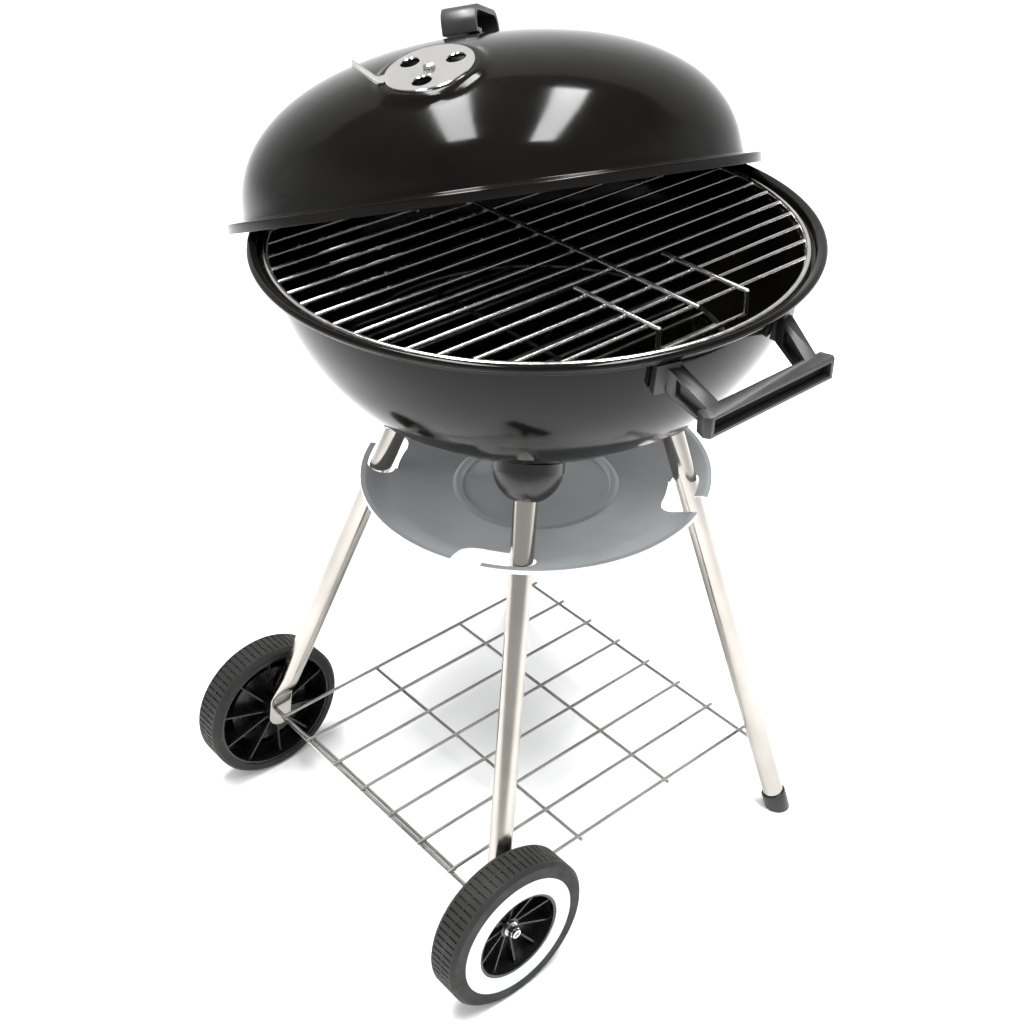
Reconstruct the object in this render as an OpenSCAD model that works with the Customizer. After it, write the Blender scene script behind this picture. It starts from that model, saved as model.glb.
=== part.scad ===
// Kettle charcoal grill on four splayed tube legs with two wheels.
// +Z is up, Z = 0 is the floor, and the bowl's axis is the Z axis. The axle and the two side handles lie
// along X. The wheels are on the -Y side and the capped feet on the +Y side. The lid is off its seat: it
// leans across the bowl, its rim on the bowl's lip, held by the hook inside it.

/* [Bowl] */
// Height of the top of the bowl's lip above the floor
lip_z = 565; // [545:1:590]
// Outer radius of the bowl's rolled lip
lip_r = 220; // [219:0.5:221]
// Radius of the bowl's wall just under its lip
wall_r = 204.5; // [203.5:0.5:205]
// Depth of the bowl's ellipse below the lip
bowl_d = 172; // [168:1:176]
// Sheet thickness of the bowl
bowl_t = 1.5; // [1.2:0.1:1.8]

/* [Lid] */
// Outer radius of the lid's turned-down rim
lid_r = 219.5; // [219:0.5:221]
// Radius of the dome where it leaves the rim
dome_r = 205.5; // [204:0.5:206.5]
// Height of the dome above its rim's ledge
dome_h = 119.5; // [115:0.5:122]
// Sheet thickness of the lid
lid_t = 1.2; // [1:0.1:1.5]
// Angle the lid leans from level
lid_lean = 23.4; // [22:0.2:25]

/* [Stand] */
// Diameter of the leg tubes
leg_d = 19; // [18:0.5:20]
// Wall thickness of the leg tubes
leg_t = 1.2; // [1:0.1:1.5]
// Half the spacing of the feet along X
foot_x = 191.5; // [188:0.5:196]
// Distance of the feet from the bowl's axis along Y
foot_y = 138; // [134:1:142]
// Distance of the axle from the bowl's axis along Y
axle_y = 186; // [184:1:190]
// Diameter of the axle
axle_d = 5; // [4.8:0.1:5]

/* [Wheels] */
// Radius of the wheels
wheel_r = 69; // [67:0.5:71]
// Width of the wheels
wheel_w = 30; // [28:1:32]
// Distance of the wheels' outer faces from the middle
wheel_x = 193; // [192:0.5:195]
// Tread blocks around each wheel
treads = 72; // [48:6:96]

/* [Ash tray] */
// Radius of the ash tray
tray_r = 148.5; // [147:0.5:150]
// Height of the tray's rim above the floor
tray_z = 348; // [346:1:350]
// Turn that frees the tray from the legs
tray_turn = 17; // [15:1:18]

/* [Grates] */
// Spacing of the grate bars
bar_pitch = 20.4; // [19:0.2:20.6]
// Spacing of the charcoal grate's bars
coal_pitch = 21.6; // [20:0.2:22]
// Diameter of the grate bars
bar_d = 3.2; // [2.8:0.1:3.6]
// Diameter of the grates' rings
ring_d = 5; // [4.5:0.1:5]
// Bars on each side of the cooking grate's middle bar
cook_bars = 8; // [6:1:8]
// Bars on each side of the charcoal grate's middle bar
coal_bars = 6; // [5:1:6]

/* [Shelf] */
// Half the shelf's width between its outer wires
shelf_x = 147.4; // [145:0.2:149]
// Number of shelf wires that run front to back
shelf_wires = 8; // [6:1:10]
// Diameter of the shelf's wires
wire_d = 3.2; // [2.8:0.1:3.4]

/* [Hidden] */

$fn = 96;

// Bowl: a half ellipse below ell_z, with a step that carries the charcoal grate and a ledge under the
// lip that carries the cooking grate.
ell_z = lip_z - 2;
bead_r = 3;                      // rolled lip's tube
bead_z = lip_z - bead_r;
seat_z = lip_z - 9;              // top of the cooking grate's ledge
seat_r = lip_r - 7.7;            // inner radius of the wall round that ledge
step_z = ell_z - 106.5;          // top of the charcoal grate's step
step_w = 5;                      // width of that step
cap_in = 3;                      // how far the bowl's bottom cap sits inside the ellipse
flat_r = 62;                     // flat middle of the bowl's bottom
arc_n = 14;                      // points along each stretch of ellipse

// A vent: a round damper with three holes, turned by a bent-up tab, over three holes in the sheet.
vent_r = 33.5;
vent_hole_r = 7.6;
vent_pitch_r = 20.5;
vent_t = 1;
pivot_r = 2.5;

// Legs: each tube's axis runs from the collar at leg_top to the foot or to the bend above the wheel.
leg_top = [77.5, 77, 400];
bend = [157.8, -178.5, 95];
tab_t = 2.6;                     // flattened end's thickness
tab_w = 25;                      // flattened end's width
collar_r = 28;
collar_h = 26;
cap_h = 17;                      // foot cap's height along the leg

// Shelf heights: the lengthwise wires rest on the axle, the cross wires hang under them.
long_z = wheel_r + axle_d / 2 + wire_d / 2;
cross_z = long_z - wire_d + 0.2;
shelf_pitch = 2 * shelf_x / (shelf_wires - 1);

// Lid: its own frame has the rim's lower edge at z = 0. lid_place puts it in its leaning pose.
rim_h = 8;
lid_pos = [-95.8, 37.7, lip_z - 16.5];
lean_az = 158.2;                 // compass direction of the lid's low side
dome_p = 2.25;                   // exponent of the dome's profile
dome_n = 22;
lid_vent_az = -51;
lid_vent_turn = 24;              // first hole, from the lid's tangent
lid_vent_at = 150;               // vent's distance from the lid's axis
hook_w = 20;

// Fine clearances between parts that move
gap = 0.3;
run = 0.08;

function ellipse_r(a, b, z) = a * sqrt(1 - pow((ell_z - z) / b, 2));
function ellipse_z(a, b, r) = ell_z - b * sqrt(1 - pow(r / a, 2));
function arc_points(a, b, t0, t1) =
    [for (i = [0:arc_n]) let (t = t0 + (t1 - t0) * i / arc_n) [a * sin(t), ell_z - b * cos(t)]];
function dome_z(r, grow = 0) =
    rim_h + (dome_h + grow) * pow(max(0, 1 - pow(r / (dome_r + grow), dome_p)), 1 / dome_p);
function dome_slope(r) = atan(dome_h / dome_r * pow(r / dome_r, dome_p - 1)
    * pow(1 - pow(r / dome_r, dome_p), 1 / dome_p - 1));
function dome_points(grow) =
    [for (i = [0:dome_n]) let (s = 90 * i / dome_n, r = (dome_r + grow) * cos(s)) [r, dome_z(r, grow)]];
function along(p, q, z) = p + (q - p) * (z - p[2]) / (q[2] - p[2]);
function tilt_of(v) = acos(v[2] / norm(v));
function turn_of(v) = atan2(v[1], v[0]);

wheel_leg_end = bend;
foot_leg_end = [foot_x, foot_y, 0];

// Puts +Z of its children along v, with the origin at p, turned by spin about v.
module aim(p, v, spin = 37) translate(p) rotate([0, tilt_of(v), turn_of(v)]) rotate(spin) children();

module tube_along(p, q, d) aim(p, q - p) cylinder(h = norm(q - p), d = d);

module wire_along(p, q, d) aim(p, q - p, 0) cylinder(h = norm(q - p), d = d, $fn = 20);

module lid_place()
    translate(lid_pos) rotate(a = lid_lean, v = [cos(lean_az + 90), sin(lean_az + 90), 0]) children();

module mirror_x(side) mirror([side < 0 ? 1 : 0, 0, 0]) children();

// ---- Bowl ----

module bowl_shell() {
    outer_cap = [wall_r - cap_in, bowl_d - cap_in + 0.5];
    inner_wall = [wall_r - bowl_t, bowl_d - bowl_t];
    inner_cap = [outer_cap[0] - bowl_t, outer_cap[1] - bowl_t];
    step_out_r = ellipse_r(wall_r, bowl_d, step_z - bowl_t);
    step_in_r = ellipse_r(inner_wall[0], inner_wall[1], step_z);
    bottom = ellipse_z(outer_cap[0], outer_cap[1], flat_r);
    rotate_extrude() polygon(concat(
        [[0, bottom]],
        arc_points(outer_cap[0], outer_cap[1], asin(flat_r / outer_cap[0]),
            asin((step_out_r - step_w) / outer_cap[0])),
        [[step_out_r - step_w, step_z - bowl_t]],
        arc_points(wall_r, bowl_d, asin(step_out_r / wall_r), acos((ell_z - seat_z + bowl_t) / bowl_d)),
        [[seat_r + bowl_t, seat_z - bowl_t], [seat_r + bowl_t, bead_z - bowl_t / 2],
         [lip_r - bead_r, bead_z - bowl_t / 2], [lip_r - bead_r, bead_z + bowl_t / 2],
         [seat_r, bead_z + bowl_t / 2], [seat_r, seat_z]],
        [for (i = [arc_n:-1:0]) arc_points(inner_wall[0], inner_wall[1],
            asin(step_in_r / inner_wall[0]), acos((ell_z - seat_z) / inner_wall[1]))[i]],
        [[step_in_r - step_w, step_z]],
        [for (i = [arc_n:-1:0]) arc_points(inner_cap[0], inner_cap[1],
            asin(flat_r / inner_cap[0]), asin((step_in_r - step_w) / inner_cap[0]))[i]],
        [[0, bottom + bowl_t]]
    ));
    rotate_extrude() translate([lip_r - bead_r, bead_z]) circle(r = bead_r);
}

bowl_floor_z = ellipse_z(wall_r - cap_in, bowl_d - cap_in + 0.5, flat_r);

module bowl() color("#17171a") difference() {
    bowl_shell();
    vent_holes(bowl_floor_z - 5, 10);
    for (side = [-1, 1], end = [-1, 1])
        leg_frame(side, end) cylinder(h = 40, r = bolt_r + 0.2);
    for (side = [-1, 1], end = [-1, 1])
        handle_bolt_frame(side, end) translate([0, 0, -10]) cylinder(h = 20, r = bolt_r + 0.2);
}

// ---- Vents ----

module vent_holes(z, h) {
    for (k = [0:2]) rotate(120 * k) translate([vent_pitch_r, 0, z]) cylinder(h = h, r = vent_hole_r);
    translate([0, 0, z]) cylinder(h = h, r = pivot_r + run);
}

// Damper on the plane z = 0, its bent-up tab at +X turned by tab_az.
module vent_disc(tab_az) {
    difference() {
        union() {
            cylinder(h = vent_t, r = vent_r);
            rotate(tab_az) translate([vent_r - 3, -5.5, 0]) cube([9, 11, vent_t]);
            rotate(tab_az) translate([vent_r + 5.5, -5.5, 0]) rotate([0, -52, 0]) cube([22, 11, vent_t]);
        }
        vent_holes(-1, vent_t + 2);
    }
}

// Rivet-like pivot screw through sheet of thickness sheet_t below z = 0, with its nut under it.
module vent_pivot(sheet_t) {
    translate([0, 0, -sheet_t - 4]) cylinder(h = sheet_t + 4 + vent_t + gap + 0.4, r = pivot_r);
    translate([0, 0, vent_t + gap]) cylinder(h = 2, r = 4.6);
    translate([0, 0, vent_t + gap + 2]) cylinder(h = 1, r1 = 4.6, r2 = 3);
    translate([0, 0, -sheet_t - gap - 3]) cylinder(h = 3, r = 4.6, $fn = 6);
}

module bowl_vent_place() translate([0, 0, bowl_floor_z - gap]) rotate([180, 0, 0]) children();

module bowl_vent_disc() color("#c8c9cb") bowl_vent_place() vent_disc(45);

module bowl_vent_pivot() color("#b9babc") bowl_vent_place() vent_pivot(bowl_t + gap);

// ---- Grates ----

ring_r = seat_r - 6;             // cooking grate's ring, to the middle of its wire
cook_z = seat_z + gap + ring_d / 2;
lift_y = 44;
lift_in = 92;
lift_out = 176;
lift_drop = 18;

module bars(count, pitch, r, z) for (i = [-count:count]) let (x = i * pitch, h = sqrt(r * r - x * x))
    wire_along([x, -h, z], [x, h, z], bar_d);

module cooking_grate() color("#c9cacc") {
    cross_z = cook_z + bar_d - 0.15;
    translate([0, 0, cook_z]) rotate_extrude() translate([ring_r, 0]) circle(d = ring_d, $fn = 20);
    bars(cook_bars, bar_pitch, ring_r, cook_z);
    wire_along([-lift_out + 4, 0, cross_z], [lift_out - 4, 0, cross_z], bar_d + 0.4);
    for (side = [-1, 1]) lift_handle(side, cross_z);
}

// Wire loop that hangs over the grate's open end
module lift_handle(side, z) {
    for (y = [-lift_y, lift_y]) {
        wire_along([side * lift_in, y, z], [side * lift_out, y, z], bar_d + 0.4);
        translate([side * lift_out, y, z]) sphere(d = bar_d + 0.4, $fn = 20);
        wire_along([side * lift_out, y, z], [side * lift_out, y, z - lift_drop], bar_d + 0.4);
        translate([side * lift_out, y, z - lift_drop]) sphere(d = bar_d + 0.4, $fn = 20);
    }
    wire_along([side * lift_out, -lift_y, z - lift_drop], [side * lift_out, lift_y, z - lift_drop],
        bar_d + 0.4);
}

module charcoal_grate() color("#8f9194") {
    z = step_z + gap + ring_d / 2;
    r = ellipse_r(wall_r - bowl_t, bowl_d - bowl_t, z) - ring_d / 2 - 2;
    end = 0.863 * r;
    translate([0, 0, z]) rotate_extrude() translate([r, 0]) circle(d = ring_d, $fn = 20);
    bars(coal_bars, coal_pitch, r, z);
    wire_along([-end, 0, z + bar_d - 0.15], [end, 0, z + bar_d - 0.15], bar_d + 0.4);
}

// ---- Side handles ----

grip_x = 245;                    // outer face of the grip
grip_z = 522;                    // middle height of the grip
grip_h = 16;
grip_d = 13;
grip_half = 65;
arm_w = 12;
root_y = 58;
root_z = 541;
bolt_r = 3;
arm_bend = 0.55;                 // where along the arm its slope changes

module handle_bolt_frame(side, end) mirror_x(side) {
    az = asin(root_y / ellipse_r(wall_r, bowl_d, root_z));
    r = ellipse_r(wall_r, bowl_d, root_z);
    slope = atan(pow(wall_r / bowl_d, 2) * (ell_z - root_z) / r);
    rotate(end * az) translate([r, 0, root_z]) rotate([0, 90 + slope, 0]) children();
}

module side_handle(side) {
    mirror_x(side) {
        // Grip: a bar with chamfered ends and a channel along its outer face
        difference() {
            translate([0, 0, grip_z - grip_h / 2]) linear_extrude(height = grip_h) polygon([
                [grip_x - grip_d, -grip_half + 3], [grip_x - 4, -grip_half], [grip_x, -grip_half + 3],
                [grip_x, grip_half - 3], [grip_x - 4, grip_half], [grip_x - grip_d, grip_half - 3]]);
            translate([grip_x - 8, -grip_half + 6, grip_z - grip_h / 2 + 2.5])
                cube([10, 2 * grip_half - 12, grip_h - 5]);
        }
        for (end = [-1, 1]) handle_arm(end);
    }
    for (end = [-1, 1]) handle_bolt_frame(side, end) difference() {
        translate([-13, -9, 0.6]) cube([24, 18, 7]);
        translate([0, 0, -1]) cylinder(h = 6, r = bolt_r + 0.1);
    }
}

// Ribbed arm: it drops from its root on the bowl to the grip
module handle_arm(end) {
    y0 = root_y - 3;
    y1 = grip_half - 16;
    x0 = 201;
    x1 = grip_x - grip_d + 2;
    hull() {
        translate([x0, end * y0 - arm_w / 2, root_z - 11]) cube([4, arm_w, 18]);
        translate([x1, end * y1 - arm_w / 2, grip_z - 7]) cube([2, arm_w, 14]);
    }
}

module side_handle_bolts() color("#a9abad") for (side = [-1, 1], end = [-1, 1])
    handle_bolt_frame(side, end) {
        translate([0, 0, -bowl_t - 0.6]) cylinder(h = bowl_t + 5.4, r = bolt_r);
        translate([0, 0, -bowl_t - 3.1]) cylinder(h = 2.6, r = 5.5, $fn = 6);
    }

// ---- Lid ----

module lid_shell() {
    rotate_extrude() polygon(concat(
        [[lid_r, 0], [lid_r, rim_h]],
        dome_points(0),
        [for (i = [dome_n:-1:0]) dome_points(-lid_t)[i]],
        [[dome_r - lid_t, rim_h - lid_t], [lid_r - lid_t, rim_h - lid_t], [lid_r - lid_t, 0]]
    ));
}

// Frame of the lid's vent: origin on the flat seat, +Z away from the dome
module lid_vent_frame() rotate(lid_vent_az) translate([lid_vent_at, 0, dome_z(lid_vent_at)])
    rotate([0, dome_slope(lid_vent_at), 0]) rotate(90) children();

seat_pad_r = 38.5;
seat_pad_t = 4.6;

module lid() color("#17171a") lid_place() difference() {
    union() {
        difference() {
            lid_shell();
            lid_vent_frame() translate([0, 0, -0.6]) cylinder(h = 12, r = seat_pad_r - 1);
        }
        lid_vent_frame() translate([0, 0, -seat_pad_t]) difference() {
            cylinder(h = seat_pad_t, r = seat_pad_r);
            translate([0, 0, -1]) cylinder(h = seat_pad_t + 1 - bowl_t, r = seat_pad_r - lid_t);
        }
    }
    lid_vent_frame() rotate(lid_vent_turn) vent_holes(-12, 24);
    for (s = [-1, 1]) rotate(lid_vent_az) translate([s * (handle_span / 2 - 11), 0, dome_h - 12])
        cylinder(h = 40, r = 2.7);
}

module lid_vent_disc() color("#c8c9cb") lid_place() lid_vent_frame() translate([0, 0, gap])
    rotate(lid_vent_turn) vent_disc(168);

module lid_vent_pivot() color("#b9babc") lid_place() lid_vent_frame() translate([0, 0, gap])
    vent_pivot(bowl_t + gap);

handle_span = 86;
handle_w = 28;
handle_h = 22;
handle_t = 4.5;

// Broad strap bent into a low arch, with a foot at each end
module lid_handle() color("#1b1b1c") lid_place() rotate(lid_vent_az) difference() {
    translate([0, handle_w / 2, dome_z(0)]) rotate([90, 0, 0]) linear_extrude(height = handle_w)
        difference() {
            union() {
                translate([-handle_span / 2, 0.1]) square([handle_span, 3.5]);
                handle_outline(0);
            }
            handle_outline(handle_t);
            translate([-handle_span / 2 + 18, -3]) square([handle_span - 36, 9]);
        }
    for (s = [-1, 1]) translate([s * (handle_span / 2 - 11), 0, dome_h - 10]) cylinder(h = 24, r = 2.6);
}

// Arch outline inset by t: flat top and round shoulders
module handle_outline(t) {
    half = handle_span / 2 - t;
    top = handle_h - t;
    r = 14 - t / 2;
    foot = t > 0 ? 3.6 : 0.1;
    intersection() {
        hull() {
            for (s = [-1, 1]) translate([s * (half - r), top - r]) circle(r = r, $fn = 32);
            translate([-half, foot]) square([2 * half, 1]);
        }
        translate([-half - 1, foot]) square([2 * half + 2, handle_h + 2]);
    }
}

module lid_handle_bolts() color("#a9abad") lid_place() for (s = [-1, 1]) rotate(lid_vent_az)
    translate([s * (handle_span / 2 - 11), 0, 0]) {
        translate([0, 0, dome_z(0) - 5]) cylinder(h = 9.2, r = 2.5);
        translate([0, 0, dome_z(0) + 3.7]) cylinder(h = 2, r = 4.4);
        translate([0, 0, dome_z(0) - 6]) cylinder(h = 2.8, r = 4.6, $fn = 6);
    }

// Steel strap inside the lid: it hangs straight down when the lid leans, and its end hooks over the lip.
hook_t = 2;
hook_x = lip_r + 1.5;            // inner face of the strap
function hook_at(r) =
    (hook_x + 1 - norm([lid_pos[0], lid_pos[1]]) - dome_z(r) * sin(lid_lean)) / cos(lid_lean);
hook_r = hook_at(hook_at(85));   // where the strap meets the dome, from the lid's axis
hook_z = dome_z(hook_r, -lid_t);
hook_top = lid_pos[2] + hook_z * cos(lid_lean) - hook_r * sin(lid_lean) - 2.2;

module lid_hook() color("#5c5d60") {
    lid_place() rotate(lean_az) translate([hook_r, 0, hook_z - 0.35]) rotate([0, dome_slope(hook_r), 0])
        translate([-13, -hook_w / 2, -hook_t]) cube([15, hook_w, hook_t]);
    rotate(lean_az) {
        translate([hook_x, -hook_w / 2, lip_z + gap]) cube([hook_t, hook_w, hook_top - lip_z - gap]);
        translate([seat_r - 2.7, -hook_w / 2, lip_z + gap]) cube([hook_x - seat_r + 4.7, hook_w, hook_t]);
        translate([seat_r - 2.7, -hook_w / 2, lip_z - 6.5]) cube([hook_t, hook_w, 8]);
    }
}

// ---- Legs ----

// Frame on a leg's axis: origin at the collar's top, +Z up along the leg. end is -1 at the wheels.
module leg_frame(side, end) {
    low = end < 0 ? wheel_leg_end : foot_leg_end;
    high = [leg_top[0], end * leg_top[1], leg_top[2]];
    mirror_x(side) aim(along(low, high, collar_top_z), high - low) children();
}

collar_top_z = 414.5;

module leg_tube(side, end) {
    high = [leg_top[0], end * leg_top[1], leg_top[2]];
    low = end < 0 ? along(wheel_leg_end, high, neck_z) : along(foot_leg_end, high, foot_cut_z);
    top = along(low, high, collar_top_z - 6);
    mirror_x(side) difference() {
        tube_along(low, top, leg_d);
        tube_along(low + (low - top) * 0.02, top + (top - low) * 0.02, leg_d - 2 * leg_t);
        if (end > 0) tube_along([shelf_x, cross_y, cross_z], [cross_x, cross_y, cross_z], wire_d + 0.4);
    }
}

cross_x = along(foot_leg_end, leg_top, cross_z)[0];
cross_y = along(foot_leg_end, leg_top, cross_z)[1];
foot_cut_z = 7;                  // height of the foot tubes' lower ends
neck_z = bend[2] + 12;           // height where the wheel legs' tubes start to flatten

// Tube whose lower end is pressed flat into a tab for the axle
module leg_wheel(side) color("#b7b4ad") {
    leg_tube(side, -1);
    mirror_x(side) {
        high = [leg_top[0], -leg_top[1], leg_top[2]];
        hull() {
            aim(along(bend, high, neck_z + 0.5), high - bend)
                cylinder(h = 3, d = leg_d - 2 * leg_t - 0.2, $fn = 32);
            translate([bend[0], -axle_y + 4, bend[2] - 6]) cube([tab_t, tab_w, 2], center = true);
        }
        difference() {
            union() {
                along_x(bend[0] - tab_t / 2) cylinder(h = tab_t, d = tab_w - 1);
                translate([bend[0], -axle_y + 2, (wheel_r + bend[2] - 5) / 2])
                    cube([tab_t, tab_w - 2, bend[2] - 5 - wheel_r], center = true);
            }
            along_x(bend[0] - tab_t) cylinder(h = 2 * tab_t, d = axle_d + 0.4);
        }
    }
}

module leg_foot(side) color("#b7b4ad") leg_tube(side, 1);

module each_leg() for (side = [-1, 1], end = [-1, 1]) leg_frame(side, end) children();

// Plug pressed into each tube's upper end, with the thread for its bolt
module leg_plugs() color("#2a2a2c") each_leg() translate([0, 0, -24]) difference() {
    cylinder(h = 16, d = leg_d - 2 * leg_t - 0.1);
    translate([0, 0, -1]) cylinder(h = 20, r = bolt_r + 0.1);
}

module leg_bolts() color("#a9abad") each_leg() {
    translate([0, 0, -22]) cylinder(h = 28, r = bolt_r);
    translate([0, 0, 6]) cylinder(h = 3, r = 5.5, $fn = 6);
}

// Half-ball collar between the leg and the bowl, its upper edge shaped to the bowl
module collar(side, end) color("#1c1c1e") difference() {
    leg_frame(side, end) difference() {
        union() {
            translate([0, 0, -3.2]) cylinder(h = 9, r = collar_r);
            intersection() {
                translate([0, 0, -2]) sphere(r = collar_r - 0.8);
                translate([0, 0, -collar_h]) cylinder(h = collar_h - 3, r = collar_r);
            }
        }
        translate([0, 0, -collar_h - 1]) cylinder(h = collar_h - 5, d = leg_d + 0.2);
        translate([0, 0, -8]) cylinder(h = 22, r = bolt_r + 0.4);
        translate([0, 0, -2]) cylinder(h = 20, r = collar_r - 3);
    }
    rotate_extrude() polygon(concat([[0, ell_z - bowl_d + cap_in - 0.7]],
        arc_points(wall_r - cap_in + 0.2, bowl_d - cap_in + 0.7, 0, 60), [[0, ell_z]]));
}

module foot_cap(side) color("#1c1c1e") mirror_x(side) difference() {
    high = leg_top;
    tube_along(foot_leg_end - (high - foot_leg_end) * 0.02, along(foot_leg_end, high, cap_h), leg_d + 3.4);
    aim(along(foot_leg_end, high, foot_cut_z - 0.1), high - foot_leg_end) cylinder(h = 40, d = leg_d + 0.1);
    translate([foot_x, foot_y, -30]) cube([80, 80, 60], center = true);
}

// ---- Axle and wheels ----

axle_end = wheel_x - 3.5;
washer_x = wheel_x - 14 + 2.4 + 0.3; // outer washer, just off the hub's boss

module along_x(x) translate([x, -axle_y, wheel_r]) rotate([0, 90, 0]) children();

module axle() color("#9fa1a3") along_x(-axle_end) cylinder(h = 2 * axle_end, d = axle_d);

module axle_washers() color("#b9babc") for (side = [-1, 1]) mirror_x(side)
    for (x = [bend[0] + tab_t / 2 + 0.2, washer_x]) along_x(x) difference() {
        cylinder(h = 1.2, r = 6.5);
        translate([0, 0, -1]) cylinder(h = 4, r = axle_d / 2);
    }

module axle_nuts() color("#c4c6c8") for (side = [-1, 1]) mirror_x(side) along_x(washer_x + 1.3)
    difference() {
        union() {
            cylinder(h = 5, r = 5, $fn = 6);
            translate([0, 0, 5]) cylinder(h = 2.4, r = 4);
        }
        translate([0, 0, -1]) cylinder(h = 12, r = axle_d / 2);
    }

tyre_in = 54.5;                  // inner radius of the tyre's outer side wall
ring_in = 40.5;                  // white ring's inner radius
rim_r = 60;                      // hub's rim, which the tyre is fitted on
side_wall = 8;                   // thickness of the tyre's outer side wall
hub_floor = 14;                  // depth of the hub's dish below the wheel's outer face
hub_ribs = 10;
tread_h = 1.4;

// Wheel pieces have their outer face at z = 0 and their body below it.
module wheel_frame(side) mirror_x(side) along_x(wheel_x) children();

module wheel_tyre(side) color("#2b2b29") wheel_frame(side) difference() {
    rotate_extrude() polygon([
        [rim_r, -wheel_w], [wheel_r - 3, -wheel_w], [wheel_r, -wheel_w + 3], [wheel_r, -3],
        [wheel_r - 3, 0], [tyre_in + 1, 0], [tyre_in + 1, -1.2], [tyre_in, -1.2],
        [tyre_in, -side_wall], [rim_r, -side_wall]]);
    for (k = [0:treads - 1]) rotate(360 * k / treads) for (z = [-wheel_w + 4.5, -wheel_w / 2 + 0.8])
        translate([wheel_r - tread_h, -0.8, z]) cube([5, 1.6, wheel_w / 2 - 5.3]);
}

module wheel_hub(side) color("#161617") wheel_frame(side) {
    bore = axle_d / 2 + run;
    rotate_extrude() polygon([
        [bore, 2.4 - hub_floor], [9, 2.4 - hub_floor], [9, -hub_floor], [ring_in - 2.4, -hub_floor],
        [ring_in - 2.4, -0.6], [ring_in, -0.6], [ring_in, -2], [tyre_in, -2], [tyre_in, -side_wall],
        [rim_r, -side_wall], [rim_r, 1 - wheel_w], [rim_r - 2.4, 1 - wheel_w],
        [rim_r - 2.4, -side_wall - 2.4], [tyre_in - 2.4, -side_wall - 2.4], [tyre_in - 2.4, -4.6],
        [ring_in, -4.6], [ring_in, -hub_floor - 2.4], [10.5, -hub_floor - 2.4], [10.5, -wheel_w],
        [bore, -wheel_w]]);
    for (k = [0:hub_ribs - 1]) rotate(360 * k / hub_ribs) rotate([90, 0, 0])
        linear_extrude(height = 1.6, center = true) {
            polygon([[8, -hub_floor - 1], [ring_in - 2, -hub_floor - 1], [ring_in - 2, -5],
                [8, 2 - hub_floor]]);
            polygon([[10, -hub_floor - 2], [ring_in - 0.5, -hub_floor - 2], [ring_in - 0.5, -4],
                [tyre_in - 2, -4], [tyre_in - 2, -side_wall - 2], [rim_r - 2, -side_wall - 2],
                [rim_r - 2, 4 - wheel_w], [10, 2 - wheel_w]]);
        }
}

module wheel_ring(side) color("#dfe5e2") wheel_frame(side) rotate_extrude() polygon([
    [ring_in + 0.1, -1.9], [tyre_in - 0.1, -1.9], [tyre_in - 0.1, -1.1], [tyre_in + 0.9, -1.1],
    [tyre_in + 0.9, 0.3], [ring_in + 0.1, 0.3]]);

// ---- Shelf ----

module shelf_wires() color("#8a8884") for (i = [0:shelf_wires - 1]) let (x = -shelf_x + i * shelf_pitch)
    wire_along([x, -axle_y - 4, long_z], [x, cross_y + 4, long_z], wire_d);

module shelf_cross_wires() color("#8a8884") {
    wire_along([-cross_x, cross_y, cross_z], [cross_x, cross_y, cross_z], wire_d);
    for (y = [-78, 28]) wire_along([-shelf_x - 3, y, cross_z], [shelf_x + 3, y, cross_z], wire_d);
    edge_x = shelf_x - shelf_pitch;
    edge_y = -axle_y + axle_d / 2 + wire_d / 2 + 0.3;
    wire_along([-edge_x, edge_y, cross_z], [edge_x, edge_y, cross_z], wire_d);
}

// ---- Ash tray ----

tray_floor_z = tray_z - 18;
tray_t = 1;
base_r = 66;
notch_w = 23;                    // width of the channel the leg slides along
mouth_w = 25;                    // width of its mouth through the rim

module tray_dish() rotate_extrude() polygon([
    [0, tray_floor_z], [base_r - 3, tray_floor_z], [base_r - 1, tray_floor_z + 2.4],
    [base_r + 2, tray_floor_z + 2.4], [base_r + 5, tray_floor_z + 1.2], [tray_r - 22, tray_z - 6],
    [tray_r - 4, tray_z - tray_t], [tray_r - tray_t, tray_z - tray_t], [tray_r - tray_t, tray_z - 4],
    [tray_r, tray_z - 4], [tray_r, tray_z], [tray_r - 4, tray_z], [tray_r - 22.5, tray_z - 5],
    [base_r + 5, tray_floor_z + 2.2], [base_r + 2, tray_floor_z + 3.4], [base_r - 1.6, tray_floor_z + 3.4],
    [base_r - 3.6, tray_floor_z + 1], [0, tray_floor_z + 1]]);

// J-shaped notch: an arc channel from the leg, then a mouth out through the rim
module tray_notch(r, az) {
    translate([0, 0, tray_z - 20]) linear_extrude(height = 40) {
        rotate_extrude_arc(r, az);
        rotate(az - tray_turn) translate([r, -mouth_w / 2]) square([60, mouth_w]);
        rotate(az - tray_turn) translate([r, 0]) circle(d = mouth_w);
        rotate(az) translate([r, 0]) circle(d = notch_w);
    }
}

// Flat arc band of the channel's width from az back through the tray's turn
module rotate_extrude_arc(r, az) difference() {
    intersection() {
        difference() {
            circle(r = r + notch_w / 2);
            circle(r = r - notch_w / 2 - 2);
        }
        polygon([[0, 0], 300 * [cos(az - tray_turn), sin(az - tray_turn)], 300 * [cos(az), sin(az)]]);
    }
}

module ash_tray() color("#a3a7a9") difference() {
    tray_dish();
    for (side = [-1, 1], end = [-1, 1]) {
        low = end < 0 ? wheel_leg_end : foot_leg_end;
        p = along(low, [leg_top[0], end * leg_top[1], leg_top[2]], tray_z - 2);
        tray_notch(norm([p[0], p[1]]), atan2(p[1], side * p[0]));
    }
}

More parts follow.
